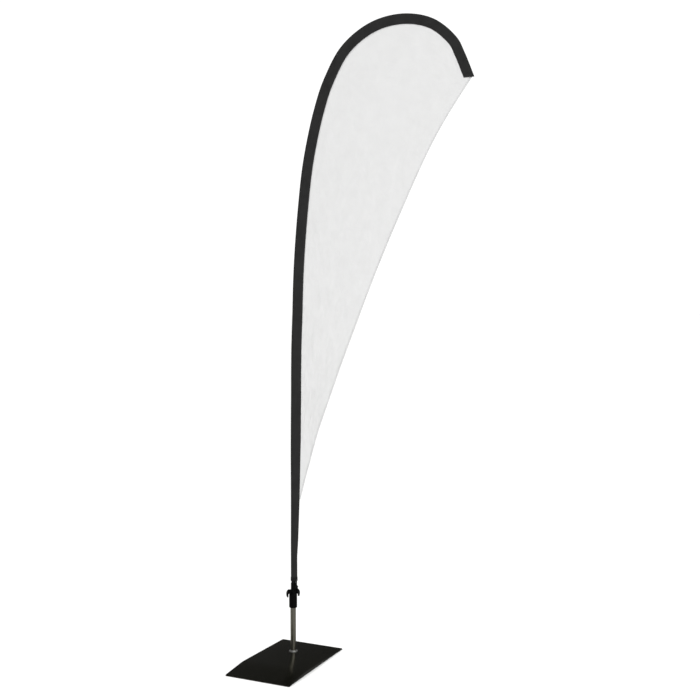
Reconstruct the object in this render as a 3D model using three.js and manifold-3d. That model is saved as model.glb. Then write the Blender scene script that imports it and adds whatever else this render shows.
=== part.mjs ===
// A teardrop flag on a folded steel base plate, with a turning post and a lift-off pole.
// Millimetres, +Z up. The flag's cloth lies in the XZ plane and its tip points along +X.
// The model is built with the post's axis on Z and the floor at 0, and moved at the end.
import * as THREE from 'three';
import { mergeVertices } from 'three/addons/utils/BufferGeometryUtils.js';
import Module from 'manifold-3d';

const wasm = await Module();
wasm.setup();

// Clearances
const gap = 0.3; // between pieces that touch or are pressed together
const runningGap = 1.5; // between the turning tube and the ring below it
const slipGap = 0.4; // around a piece that slides or turns in another

// Base plate: a sheet with a shallow fold, standing on its two short edges
const plateLength = 500;
const plateWidth = 300;
const plateThickness = 5;
const foldFromBack = 360;
const foldRise = 12;
const foldRoundBack = 30; // where the fold's rounding starts, behind and in front of it
const foldRoundFront = 24;
const plateCorner = 4;
const plateTurn = THREE.MathUtils.degToRad(-25);
const postFromBack = 135;
const postFromLeft = 125;

// Post: axle, ring, bearings and tube
const flangeRadius = 19;
const flangeHeight = 5.5;
const flangeEdge = 2; // rounding of the ring's rim
const axleRadius = 5;
const shoulderRadius = 6.6;
const axleFootRim = 1.5; // how far the axle's foot stands out past its shoulder
const screwRadius = 4;
const screwLength = 24;
const screwHeadRadius = 8;
const screwSocketRadius = 2.9;
const screwSocketDepth = 3;
const screwTipEdge = 1;
const tubeRadius = 12;
const tubeWall = 2.5;
const tubeLength = 216;
const bearingWidth = 5;
const bearingRing = 0.8; // wall of a bearing's inner and outer ring
const ballRoom = 0.25; // between a ball and its rings
const cageHalf = 0.4;
const ballCount = 9;
const bearingApart = 105;
const spacerWall = 1;
const washerThickness = 1.5;
const washerWall = 1.9;
const nutHeight = 6;
const nutAcrossFlats = 13;
const sealHeight = 3;
const axleEnd = 3; // thread that stands out of the nut

// Spigot that the pole stands on
const spigotRise = 112;
const spigotPlug = 30;
const spigotHead = 5.3;
const crossPinRadius = 2;

// Collar with its two horns
const collarWall = 4.6;
const neckWall = 5.5;
const collarHeight = 80;
const collarBodyHeight = 63;
const collarSkirt = 27.5;
const collarTurn = THREE.MathUtils.degToRad(25);
const hornThickness = 7.9;
const hornWidth = 10;
const hornSlot = 6.4; // width of the slot between a horn and the collar
const hornTipUp = 47; // from the collar's foot
const hornSlotDepth = 16;
const hornBevel = 1.4;
const collarEdge = 3;
const setScrewRadius = 2;
const setScrewUp = 41; // from the collar's foot
const setScrewSocketRadius = 1.1;
const setScrewSocketDepth = 2;

// Pole: three sections on one bowed line
const poleRadius = 7.7;
const poleWall = 1.5;
const middleTopRadius = 4.6;
const middleWall = 1.5;
const topTipRadius = 2;
const plugDepth = 60; // how far a section goes into the one below it
const ferruleWall = 0.5;
const ferruleLength = 32;
const tipCapWall = 0.6;
const tipCapLength = 16;
const tipMargin = 14; // from the tip cap to the end of the pocket
const guardWall = 1.6; // black sleeve on the pole, where the elastic would rub
const guardLength = 28;

// The bow as drawn, measured from the pole's foot, and the reach and rise to draw it at
const drawnReach = 771;
const drawnRise = 2512;
const flagReach = 771;
const flagRise = 2512;
const bowDrawn = [
  [0, 0], [0, 62], [0, 122], [0, 182], [0, 242], [1, 448], [1, 672], [4, 968], [8, 1239],
  [15, 1457], [34, 1710], [57, 1904], [101, 2111], [143, 2242], [220, 2382], [342, 2478],
  [478, 2512], [602, 2490], [697, 2414], [729, 2354], [771, 2253],
];
const trailingDrawn = [
  [77, 617], [168, 900], [275, 1200], [381, 1480], [487, 1735], [563, 1904], [624, 2040],
  [697, 2150],
];

// Cloth
const pocketWidth = 42;
const mouthSlack = 9.2; // how much wider the pocket's mouth is than the pole in its cloth
const mouthUp = 97; // from the pole's foot along the pole
const pocketWall = 0.7;
const pocketRoom = 0.5; // between the pole and the pocket
const seamHalf = 0.3; // half the room inside the pocket at its seam
const panelStart = 444; // from the pole's foot along the pole
// The pocket widens above its mouth: places along the pole, and how much of it is done there
const pocketFlare = [[192, 0], [262, 0.27], [444, 0.62], [704, 1]];
const panelThickness = 0.8;
const tipCut = THREE.MathUtils.degToRad(16); // how far the pocket's end is off square
const hemHeight = 12;
const hemWall = 0.8;
const tabWidth = 6.4;
const tabWall = 1.1;
const tabInside = 10;
const tabLoopRadius = 4.5;
const tabLoopDrop = 16; // from the mouth down to the middle of the loop
const elasticRadius = 2.3;
const knotRadius = 4.3;

const group = new THREE.Group();

function add(name, geometry, color, roughness, metalness) {
  const material = new THREE.MeshStandardMaterial({ color, roughness, metalness });
  const mesh = new THREE.Mesh(geometry, material);
  mesh.name = name;
  group.add(mesh);
  return mesh;
}

// Booleans

function solidOf(geometry) {
  const bare = geometry.clone();
  bare.deleteAttribute('normal');
  bare.deleteAttribute('uv');
  const merged = mergeVertices(bare, 1e-4);
  const vertProperties = new Float32Array(merged.attributes.position.array);
  const triVerts = new Uint32Array(merged.index.array);
  return new wasm.Manifold(new wasm.Mesh({ numProp: 3, vertProperties, triVerts }));
}

function geometryOf(solid) {
  const mesh = solid.getMesh();
  const geometry = new THREE.BufferGeometry();
  geometry.setAttribute('position', new THREE.BufferAttribute(mesh.vertProperties, 3));
  geometry.setIndex(new THREE.BufferAttribute(mesh.triVerts, 1));
  return geometry;
}

function cut(geometry, ...tools) {
  let solid = solidOf(geometry);
  for (const tool of tools) {
    solid = solid.subtract(solidOf(tool));
  }
  return geometryOf(solid);
}

function join(geometry, ...others) {
  let solid = solidOf(geometry);
  for (const other of others) {
    solid = solid.add(solidOf(other));
  }
  return geometryOf(solid);
}

// Shapes

// A profile of [radius, z] points turned about Z
function turned(profile, segments = 24) {
  const points = profile.map(([radius, z]) => new THREE.Vector2(radius, z));
  return new THREE.LatheGeometry(points, segments).rotateX(Math.PI / 2);
}

function ring(inner, outer, low, high, segments = 24) {
  return turned([[inner, low], [outer, low], [outer, high], [inner, high], [inner, low]], segments);
}

function rod(radius, low, high, segments = 24) {
  return turned([[0, low], [radius, low], [radius, high], [0, high]], segments);
}

function prism(radius, sides, low, high) {
  const geometry = new THREE.CylinderGeometry(radius, radius, high - low, sides);
  return geometry.rotateX(Math.PI / 2).translate(0, 0, (low + high) / 2);
}

// A closed skin over rings of points that turn by the right-hand rule about the way they follow
function loft(rings) {
  return skin(rings, []);
}

// The same with a hollow, which is open at its start and, unless blind, at its end too
function hollowLoft(rings, innerRings, blind = false) {
  return skin(rings, innerRings, blind);
}

function skin(rings, innerRings, blind = false) {
  const points = [...rings, ...innerRings].flat();
  const count = rings[0].length;
  const index = [];
  const last = rings.length - 1;
  const innerFirst = rings.length;
  const innerLast = innerFirst + innerRings.length - 1;
  const band = (a, b) => {
    for (let i = 0; i < count; i += 1) {
      const next = (i + 1) % count;
      index.push(a * count + i, a * count + next, b * count + next);
      index.push(a * count + i, b * count + next, b * count + i);
    }
  };
  const cap = (a, forward) => {
    for (let i = 1; i < count - 1; i += 1) {
      const pair = forward ? [i, i + 1] : [i + 1, i];
      index.push(a * count, a * count + pair[0], a * count + pair[1]);
    }
  };
  for (let a = 0; a < last; a += 1) {
    band(a, a + 1);
  }
  if (innerRings.length === 0) {
    cap(0, false);
    cap(last, true);
  } else {
    for (let a = innerFirst; a < innerLast; a += 1) {
      band(a + 1, a);
    }
    band(innerFirst, 0);
    if (blind) {
      cap(last, true);
      cap(innerLast, false);
    } else {
      band(last, innerLast);
    }
  }
  const geometry = new THREE.BufferGeometry().setFromPoints(points);
  geometry.setIndex(index);
  return geometry;
}

// Heights, from the floor up

const postSlope = foldRise / foldFromBack;
const plateTopAtPost = postSlope * postFromBack + plateThickness;
const flangeTop = plateTopAtPost + flangeHeight;
const tubeFoot = flangeTop + runningGap;
const tubeTop = tubeFoot + tubeLength;
const tubeBore = tubeRadius - tubeWall;
const headFoot = tubeTop + gap;
const headTop = headFoot + spigotHead;
const poleFoot = headTop + gap;
const collarFoot = tubeTop - collarSkirt;

// Base plate

// Places a shape that is drawn about the post's foot, with X across the plate and Y to its back
function ontoPlate(geometry) {
  return geometry.rotateZ(plateTurn);
}

function foldedSheet() {
  const back = postFromBack;
  const front = postFromBack - plateLength;
  const fold = postFromBack - foldFromBack;
  const side = new THREE.Shape();
  side.moveTo(back, 0);
  side.lineTo(back, plateThickness);
  const startZ = foldRise - foldRoundBack * postSlope;
  const endZ = foldRise * (1 - foldRoundFront / (plateLength - foldFromBack));
  side.lineTo(fold + foldRoundBack, plateThickness + startZ);
  side.quadraticCurveTo(
    fold, plateThickness + foldRise, fold - foldRoundFront, plateThickness + endZ,
  );
  side.lineTo(front, plateThickness);
  side.lineTo(front, 0);
  side.lineTo(fold - foldRoundFront, endZ);
  side.quadraticCurveTo(fold, foldRise, fold + foldRoundBack, startZ);
  const sheet = new THREE.ExtrudeGeometry(side, {
    depth: plateWidth, bevelEnabled: false, curveSegments: 8,
  });
  // the side view's X becomes Y, its Y becomes Z, and its depth becomes X
  sheet.applyMatrix4(new THREE.Matrix4().set(
    0, 0, 1, -postFromLeft,
    1, 0, 0, 0,
    0, 1, 0, 0,
    0, 0, 0, 1,
  ));
  return sheet;
}

function plateOutline() {
  const left = -postFromLeft;
  const right = left + plateWidth;
  const back = postFromBack;
  const front = back - plateLength;
  const r = plateCorner;
  const outline = new THREE.Shape();
  outline.moveTo(left + r, front);
  outline.lineTo(right - r, front);
  outline.absarc(right - r, front + r, r, -Math.PI / 2, 0);
  outline.lineTo(right, back - r);
  outline.absarc(right - r, back - r, r, 0, Math.PI / 2);
  outline.lineTo(left + r, back);
  outline.absarc(left + r, back - r, r, Math.PI / 2, Math.PI);
  outline.lineTo(left, front + r);
  outline.absarc(left + r, front + r, r, Math.PI, Math.PI * 1.5);
  const depth = plateThickness + foldRise + 20;
  return new THREE.ExtrudeGeometry(outline, { depth, bevelEnabled: false, curveSegments: 5 })
    .translate(0, 0, -10);
}

const plateBottomAtPost = plateTopAtPost - plateThickness;
const headSeat = plateBottomAtPost + screwHeadRadius * postSlope + gap; // the head stays above it
const countersinkTop = headSeat + screwHeadRadius - screwRadius;

function basePlate() {
  const rounded = solidOf(foldedSheet()).intersect(solidOf(plateOutline()));
  const hole = turned([
    [0, 0], [screwHeadRadius + gap, 0], [screwHeadRadius + gap, headSeat],
    [screwRadius + gap, countersinkTop], [screwRadius + gap, plateTopAtPost + 10],
    [0, plateTopAtPost + 10],
  ]);
  return geometryOf(rounded.subtract(solidOf(hole)));
}

function axleScrew() {
  const head = turned([
    [0, headSeat], [screwHeadRadius - gap, headSeat],
    [screwRadius, countersinkTop - gap], [screwRadius, headSeat + screwLength - screwTipEdge],
    [screwRadius - screwTipEdge, headSeat + screwLength], [0, headSeat + screwLength],
  ]);
  return cut(head, prism(screwSocketRadius, 6, headSeat - 1, headSeat + screwSocketDepth));
}

// The ring lies on the sloping plate, so its foot is cut to the plate's slope
function footFlange() {
  const body = turned([
    [screwRadius + gap, 0], [flangeRadius, 0], [flangeRadius, flangeTop - flangeEdge],
    [flangeRadius - 0.3 * flangeEdge, flangeTop - 0.3 * flangeEdge],
    [flangeRadius - flangeEdge, flangeTop],
    [screwRadius + gap, flangeTop], [screwRadius + gap, 0],
  ], 32);
  const wide = flangeRadius * 2 + 20;
  const below = new THREE.BoxGeometry(wide, wide, 40);
  below.translate(0, 0, -20).rotateX(-Math.atan(postSlope));
  below.translate(0, 0, plateTopAtPost + gap);
  return cut(ontoPlate(body), ontoPlate(below));
}

add('base_plate', ontoPlate(basePlate()), 0x1a1a18, 0.22, 0.4);
add('axle_screw', axleScrew(), 0x8d8f90, 0.4, 0.9);
add('foot_flange', footFlange(), 0xc9cac8, 0.15, 1);

// Axle, bearings and tube

const spigotRadius = poleRadius - poleWall - slipGap;
const lowBearing = tubeFoot + sealHeight + 2 * gap;
const highBearing = lowBearing + bearingWidth + bearingApart;
const axleTop = highBearing + bearingWidth + 2 * gap + washerThickness + nutHeight + axleEnd;

function axle() {
  const foot = flangeTop + gap;
  const shoulderTop = lowBearing - gap;
  const threadTop = headSeat + screwLength + 2;
  const body = turned([
    [0, foot], [shoulderRadius + axleFootRim, foot], [shoulderRadius + axleFootRim, foot + 1],
    [shoulderRadius, foot + 1], [shoulderRadius, shoulderTop], [axleRadius, shoulderTop],
    [axleRadius, axleTop - 1], [axleRadius - 1, axleTop], [0, axleTop],
  ]);
  return cut(body, rod(screwRadius + gap, foot - 1, threadTop));
}

function bearing(name, low) {
  const high = low + bearingWidth;
  const innerFace = axleRadius + gap;
  const outerFace = tubeBore - gap;
  const pitch = (innerFace + outerFace) / 2;
  const middle = (low + high) / 2;
  const ballRadius = (outerFace - innerFace) / 2 - bearingRing - ballRoom;
  const balls = [];
  for (let i = 0; i < ballCount; i += 1) {
    const angle = (i / ballCount) * Math.PI * 2;
    const ball = new THREE.SphereGeometry(ballRadius, 8, 5);
    balls.push(ball.translate(pitch * Math.cos(angle), pitch * Math.sin(angle), middle));
  }
  const cage = ring(pitch - cageHalf, pitch + cageHalf, middle - 0.5, middle + 0.5);
  add(`${name}_inner_ring`, ring(innerFace, innerFace + bearingRing, low, high), 0xb8babb, 0.2, 1);
  add(`${name}_balls`, join(cage, ...balls), 0x9c9ea0, 0.2, 1);
  add(`${name}_outer_ring`, ring(outerFace - bearingRing, outerFace, low, high), 0xb8babb, 0.2, 1);
}

const washerFoot = highBearing + bearingWidth + gap;
const nutFoot = washerFoot + washerThickness + gap;

function axleNut() {
  const corner = nutAcrossFlats / 2 / Math.cos(Math.PI / 6);
  return cut(
    prism(corner, 6, nutFoot, nutFoot + nutHeight),
    rod(axleRadius + gap, nutFoot - 1, nutFoot + nutHeight + 1),
  );
}

function crossHole(radius, z, reach) {
  return rod(radius, -reach, reach, 16).rotateX(Math.PI / 2).translate(0, 0, z);
}

const crossPinUp = tubeTop - spigotPlug / 2;

function spindleTube() {
  return cut(
    ring(tubeBore, tubeRadius, tubeFoot, tubeTop, 32),
    crossHole(crossPinRadius + gap, crossPinUp, tubeRadius + 5),
  );
}

function spigot() {
  const plugRadius = tubeBore - gap;
  const top = headTop + spigotRise;
  const body = turned([
    [0, tubeTop - spigotPlug], [plugRadius - 1, tubeTop - spigotPlug],
    [plugRadius, tubeTop - spigotPlug + 1], [plugRadius, headFoot], [tubeRadius, headFoot],
    [tubeRadius, headTop], [spigotRadius, headTop], [spigotRadius, top - 3],
    [spigotRadius - 2, top], [0, top],
  ]);
  return cut(body, crossHole(crossPinRadius + gap, crossPinUp, tubeRadius + 5));
}

add('axle', axle(), 0x9a9c9d, 0.35, 1);
bearing('lower_bearing', lowBearing);
bearing('upper_bearing', highBearing);
add('bearing_spacer', ring(
  axleRadius + gap, axleRadius + gap + spacerWall,
  lowBearing + bearingWidth + gap, highBearing - gap,
), 0xa7a9aa, 0.4, 0.9);
add('axle_washer', ring(
  axleRadius + gap, axleRadius + gap + washerWall, washerFoot, washerFoot + washerThickness,
), 0xb0b2b3, 0.35, 1);
add('axle_nut', axleNut(), 0x9fa1a2, 0.35, 1);
add('dust_seal', ring(
  shoulderRadius + slipGap, tubeBore - gap, tubeFoot, tubeFoot + sealHeight,
), 0x1b1b1b, 0.8, 0);
add('spindle_tube', spindleTube(), 0x8f8d84, 0.35, 1);
add('spigot', spigot(), 0xa3a4a3, 0.3, 1);
add('cross_pin', crossHole(crossPinRadius, crossPinUp, tubeRadius - 0.5), 0x7f8182, 0.4, 1);

// Collar

const boreRadius = poleRadius + gap;
const skirtBore = tubeRadius + slipGap;
const collarRadius = skirtBore + collarWall;
const neckRadius = boreRadius + neckWall;
const slotStart = collarRadius + 0.2;
const hornInside = slotStart + hornSlot;
const hornReach = hornInside + hornThickness;
const slotRoof = hornTipUp + hornSlotDepth;
const hornTopUp = collarHeight + 2;

// One horn, drawn with X outwards and Y up from the collar's foot
function horn() {
  const inside = boreRadius + 3;
  const side = new THREE.Shape();
  side.moveTo(inside, slotRoof - 8);
  side.lineTo(neckRadius, slotRoof - 4);
  side.quadraticCurveTo(neckRadius + 1, slotRoof, slotStart + 1, slotRoof);
  side.lineTo(hornInside - 2, slotRoof);
  side.quadraticCurveTo(hornInside, slotRoof, hornInside, slotRoof - 2);
  side.lineTo(hornInside + 0.6, hornTipUp + 1);
  side.quadraticCurveTo(hornInside + 1, hornTipUp, hornInside + 2.5, hornTipUp);
  side.quadraticCurveTo(hornReach - 3.6, hornTipUp, hornReach - 2.4, hornTipUp + 4);
  side.bezierCurveTo(
    hornReach - 0.2, hornTipUp + 10, hornReach + 0.8, slotRoof + 4,
    hornReach - 3, slotRoof + 12,
  );
  side.quadraticCurveTo(hornReach - 6, hornTopUp - 2, inside + 7, hornTopUp);
  side.lineTo(inside, hornTopUp - 3);
  const solid = new THREE.ExtrudeGeometry(side, {
    depth: hornWidth - 2 * hornBevel,
    bevelThickness: hornBevel,
    bevelSize: 0.9,
    bevelOffset: -0.9,
    bevelSegments: 1,
    curveSegments: 3,
  });
  solid.translate(0, 0, -hornWidth / 2 + hornBevel);
  return solid.rotateX(Math.PI / 2);
}

function collar() {
  const body = turned([
    [skirtBore, 0], [collarRadius - collarEdge, 0],
    [collarRadius - 0.3 * collarEdge, 0.3 * collarEdge], [collarRadius, collarEdge],
    [collarRadius, collarBodyHeight - collarEdge],
    [collarRadius - 0.3 * collarEdge, collarBodyHeight - 0.3 * collarEdge],
    [neckRadius, collarBodyHeight + 4], [neckRadius, collarHeight - 2],
    [neckRadius - 1.2, collarHeight], [boreRadius, collarHeight],
    [boreRadius, headTop - collarFoot + gap], [skirtBore, headTop - collarFoot + gap],
    [skirtBore, 0],
  ], 32);
  const screwHole = rod(setScrewRadius + gap, boreRadius - 2, collarRadius + 5, 16);
  screwHole.rotateX(-Math.PI / 2).translate(0, 0, setScrewUp);
  const bore = rod(boreRadius, headTop - collarFoot + 1, collarHeight + 20, 32);
  const joined = join(body, horn(), horn().rotateZ(Math.PI));
  return cut(joined, bore, screwHole).translate(0, 0, collarFoot);
}

function collarScrew() {
  const screw = rod(setScrewRadius, boreRadius, collarRadius - 0.6, 16);
  const socket = prism(
    setScrewSocketRadius, 6, collarRadius - 0.6 - setScrewSocketDepth, collarRadius,
  );
  return cut(screw, socket).rotateX(-Math.PI / 2).translate(0, 0, collarFoot + setScrewUp);
}

add('anchor_collar', collar().rotateZ(collarTurn), 0x161616, 0.45, 0);
add('collar_screw', collarScrew().rotateZ(collarTurn), 0x2c2c2c, 0.4, 0.9);

// Pole line

const stretchX = flagReach / drawnReach;
const stretchZ = flagRise / drawnRise;
const drawnPoint = ([x, z]) => new THREE.Vector3(x * stretchX, 0, poleFoot + z * stretchZ);
const poleLine = new THREE.CatmullRomCurve3(bowDrawn.map(drawnPoint), false, 'centripetal');
poleLine.arcLengthDivisions = 2000;
const lineLength = poleLine.getLength();
const sectionLength = (lineLength - tipMargin) / 3;
const lowerMouth = sectionLength;
const upperMouth = sectionLength * 2;
const middleFoot = lowerMouth - plugDepth;
const topFoot = upperMouth - plugDepth;
const capEnd = lineLength - tipMargin;
const capStart = capEnd - tipCapLength;
const topEnd = capEnd - tipCapWall - gap;
const endPlace = lineLength - 2; // the pocket's hollow ends here
const squarePlace = lineLength - 18; // the pocket's sections lean from here to its end
const spread = 50; // the most between two places on the line

// Every piece on the line has its rings at the same places, so that none cuts another
const marks = [
  0, mouthUp, mouthUp + hemHeight, panelStart, middleFoot, lowerMouth - ferruleLength,
  lowerMouth, topFoot, upperMouth - ferruleLength, upperMouth,
  capStart, topEnd, capEnd, squarePlace, endPlace, lineLength,
].sort((a, b) => a - b);
const places = [];
for (let i = 0; i < marks.length - 1; i += 1) {
  const steps = Math.max(1, Math.ceil((marks[i + 1] - marks[i]) / spread));
  for (let k = 0; k < steps; k += 1) {
    places.push(marks[i] + ((marks[i + 1] - marks[i]) * k) / steps);
  }
}
places.push(lineLength);

function between(start, end) {
  return places.filter((place) => place >= start && place <= end);
}

// A point beside the line: inward, towards the cloth, sideways, and ahead along the line
function beside(place, inward, sideways, ahead = 0) {
  const point = poleLine.getPointAt(place / lineLength);
  const along = poleLine.getTangentAt(place / lineLength);
  const across = new THREE.Vector3(along.z, 0, -along.x);
  point.addScaledVector(across, inward).addScaledVector(along, ahead);
  point.y += sideways;
  return point;
}

function circle(place, radius, sides = 12) {
  const points = [];
  for (let i = 0; i < sides; i += 1) {
    const angle = (i / sides) * Math.PI * 2;
    points.push(beside(place, radius * Math.cos(angle), radius * Math.sin(angle)));
  }
  return points;
}

// Straight lines through [place, value] pairs
function graded(pairs, place) {
  if (place <= pairs[0][0]) {
    return pairs[0][1];
  }
  const next = pairs.findIndex(([start]) => start > place);
  if (next === -1) {
    return pairs[pairs.length - 1][1];
  }
  const [start, low] = pairs[next - 1];
  const [end, high] = pairs[next];
  return THREE.MathUtils.mapLinear(place, start, end, low, high);
}

// Pole sections

const middleFootRadius = poleRadius - poleWall - gap;
const middleBore = middleTopRadius - middleWall;
const topFootRadius = middleBore - gap;
const capBore = topTipRadius + gap;
const lowerBand = poleRadius + gap;
const upperBand = middleTopRadius + gap;

function middleRadius(place) {
  return graded([[lowerMouth, middleFootRadius], [upperMouth, middleTopRadius]], place);
}

function topRadius(place) {
  return graded([[upperMouth, topFootRadius], [capStart, topTipRadius]], place);
}

function solidPiece(start, end, radius) {
  return loft(between(start, end).map((place) => circle(place, radius(place))));
}

function hollowPiece(start, end, outer, inner) {
  const at = between(start, end);
  return hollowLoft(
    at.map((place) => circle(place, outer(place))),
    at.map((place) => circle(place, inner)),
  );
}

function tipCap() {
  const radius = capBore + tipCapWall;
  const outer = between(capStart, capEnd).map((place) => circle(place, radius));
  const inner = between(capStart, topEnd + gap).map((place) => circle(place, capBore));
  inner.push(circle(topEnd + gap, capBore));
  return hollowLoft(outer, inner, true);
}

function poleGuard() {
  const inner = poleRadius + gap;
  const foot = collarFoot + collarHeight + gap;
  return ring(inner, inner + guardWall, foot, foot + guardLength, 32);
}

const glassFibre = 0x24262a;
add('pole_bottom', hollowPiece(0, lowerMouth, () => poleRadius, poleRadius - poleWall),
  glassFibre, 0.4, 0.1);
add('pole_guard', poleGuard(), 0x151515, 0.6, 0);
add('lower_ferrule', hollowPiece(
  lowerMouth - ferruleLength, lowerMouth, () => lowerBand + ferruleWall, lowerBand,
), 0xa9abac, 0.3, 1);
add('pole_middle', hollowPiece(middleFoot, upperMouth, middleRadius, middleBore),
  glassFibre, 0.4, 0.1);
add('upper_ferrule', hollowPiece(
  upperMouth - ferruleLength, upperMouth, () => upperBand + ferruleWall, upperBand,
), 0xa9abac, 0.3, 1);
add('pole_top', solidPiece(topFoot, topEnd, topRadius), glassFibre, 0.4, 0.1);
add('tip_cap', tipCap(), 0x151515, 0.6, 0);

// Pocket: round where the pole lies in it, and flat to its seam

const ferruleRoom = lowerBand + ferruleWall + slipGap;
const upperFerruleRoom = upperBand + ferruleWall + pocketRoom;
const pocketRadii = [
  [lowerMouth - 140, poleRadius + pocketRoom],
  [lowerMouth - 45, ferruleRoom],
  [lowerMouth + 55, ferruleRoom],
  [lowerMouth + 200, middleFootRadius + pocketRoom],
  [upperMouth - 90, upperFerruleRoom],
  [upperMouth + 10, upperFerruleRoom],
  [upperMouth + 210, topFootRadius + 3 * pocketRoom],
  [lineLength, capBore + tipCapWall + pocketRoom],
];
const mouthWidth = 2 * (poleRadius + pocketRoom + pocketWall) + mouthSlack;
const pocketWidths = pocketFlare
  .map(([place, share]) => [place, THREE.MathUtils.lerp(mouthWidth, pocketWidth, share)]);

// How far the outside of the seam lies from the pole's line
function seamAt(place) {
  return graded(pocketWidths, place) - graded(pocketRadii, place) - pocketWall;
}

// A point of the pocket, whose end is cut off square
function leaning(place, inward, sideways, ahead = 0) {
  const outside = graded(pocketRadii, place) + pocketWall;
  const lean = place > squarePlace ? (inward + outside) * Math.tan(tipCut) : 0;
  return beside(place, inward, sideways, ahead - lean);
}

// The pocket's section, grown outwards from its hollow
function pocketSection(place, grow) {
  const radius = graded(pocketRadii, place) + grow;
  const seam = seamAt(place) - pocketWall + grow;
  const half = seamHalf + grow;
  const tangent = Math.atan2(half, seam) + Math.acos(radius / Math.hypot(seam, half));
  const flat = [[seam, half]];
  const steps = 8;
  for (let i = 0; i <= steps; i += 1) {
    const angle = THREE.MathUtils.lerp(tangent, Math.PI * 2 - tangent, i / steps);
    flat.push([radius * Math.cos(angle), radius * Math.sin(angle)]);
  }
  flat.push([seam, -half]);
  return flat.map(([inward, sideways]) => leaning(place, inward, sideways));
}

function pocket() {
  const outer = between(mouthUp, lineLength).map((place) => pocketSection(place, pocketWall));
  const inner = between(mouthUp, endPlace).map((place) => pocketSection(place, 0));
  return hollowLoft(outer, inner, true);
}

function hemBand() {
  const at = between(mouthUp, mouthUp + hemHeight);
  const inner = pocketWall + gap;
  return hollowLoft(
    at.map((place) => pocketSection(place, inner + hemWall)),
    at.map((place) => pocketSection(place, inner)),
  );
}

// A strap folded into a loop, sewn into the mouth beside the pole
const mouthHeight = poleFoot + mouthUp;
const tabNear = poleRadius + 2 * gap;
const tabFar = tabNear + 2 * tabWall;
const loopX = tabNear + tabLoopRadius;
const loopZ = mouthHeight - tabLoopDrop;

function hemTab() {
  const side = new THREE.Shape();
  side.moveTo(tabNear, mouthHeight + tabInside);
  side.lineTo(tabNear, loopZ);
  side.absarc(loopX, loopZ, tabLoopRadius, Math.PI, Math.PI * 2.2);
  side.quadraticCurveTo(tabFar + 1, loopZ + 8, tabFar, mouthHeight - 3);
  side.lineTo(tabFar, mouthHeight + tabInside);
  const hole = new THREE.Path();
  hole.absarc(loopX, loopZ, tabLoopRadius - tabWall, 0, Math.PI * 2, true);
  side.holes.push(hole);
  return new THREE.ExtrudeGeometry(side, {
    depth: tabWidth, bevelEnabled: false, curveSegments: 8,
  }).rotateX(Math.PI / 2).translate(0, tabWidth / 2, 0);
}

// The elastic runs from its knot through the strap's loop, down behind a horn, under it and up
const elasticRoute = [
  [17, -5.4, 302], [15.2, -7.7, 307.6], [13.6, -8.3, 313.6], [12.9, -6.4, 317.9],
  [12.8, -3.2, 319.1], [12.8, 3.2, 319.1], [12.9, 6.4, 317.9], [13.2, 8.8, 313.4],
  [13.4, 10.7, 306], [13.4, 13.8, 296], [13.6, 15.6, 288],
  [14.9, 16, 275], [15.2, 15.7, 268.6], [16.4, 13.1, 265.3], [18.5, 8.6, 264.9],
  [20.6, 4.1, 265.3], [21.8, 1.6, 268.6], [21.8, 1.1, 275], [20.8, -0.4, 284],
  [18.7, -3.2, 293.1],
];
const knotPlace = [17.8, -4.1, 297.6];

function elasticCord() {
  const section = new THREE.Shape();
  section.absarc(0, 0, elasticRadius, 0, Math.PI * 2);
  const route = new THREE.CatmullRomCurve3(
    elasticRoute.map(([x, y, z]) => new THREE.Vector3(x, y, z)), false, 'centripetal',
  );
  return new THREE.ExtrudeGeometry(section, {
    steps: 40, extrudePath: route, bevelEnabled: false, curveSegments: 4,
  });
}

function elasticKnot() {
  const knot = new THREE.SphereGeometry(knotRadius, 12, 8);
  return knot.rotateX(0.5).translate(...knotPlace);
}

add('pole_sleeve', pocket(), 0x2d2d2d, 0.9, 0);
add('hem_band', hemBand(), 0x3a3a3a, 0.9, 0);
add('hem_tab', hemTab(), 0x1d1d1d, 0.85, 0);
add('elastic_cord', elasticCord(), 0x171717, 0.8, 0);
add('elastic_knot', elasticKnot(), 0x171717, 0.8, 0);

// Cloth between the pocket's seam and the trailing edge

function panel() {
  const outline = between(panelStart, lineLength)
    .map((place) => leaning(place, seamAt(place) + gap, 0));
  const pastEnd = (inward) => leaning(lineLength, inward, 0, gap / Math.cos(tipCut));
  outline.push(pastEnd(seamAt(lineLength) + gap));
  const low = beside(panelStart, seamAt(panelStart) + gap + 3, 0);
  const tip = pastEnd(seamAt(lineLength) - pocketWidth / 2);
  const trailing = new THREE.CatmullRomCurve3(
    [tip, ...trailingDrawn.map(drawnPoint).reverse(), low], false, 'centripetal',
  );
  outline.push(...trailing.getSpacedPoints(40));
  const flat = outline.map((point) => new THREE.Vector2(point.x, point.z));
  return new THREE.ExtrudeGeometry(new THREE.Shape(flat), {
    depth: panelThickness, bevelEnabled: false,
  }).rotateX(Math.PI / 2).translate(0, panelThickness / 2, 0);
}

add('flag_panel', panel(), 0xebebeb, 0.85, 0);

// The origin is on the floor, below the middle of the whole flag's box
const box = new THREE.Box3().setFromObject(group);
const middle = box.getCenter(new THREE.Vector3());
group.position.set(-middle.x, -middle.y, -box.min.z);

export default group;
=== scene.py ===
# Teardrop flag with its turning post and folded foot plate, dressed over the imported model, in metres.
import bisect
import math
import bmesh
import bpy
from mathutils import Matrix, Vector, noise


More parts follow.
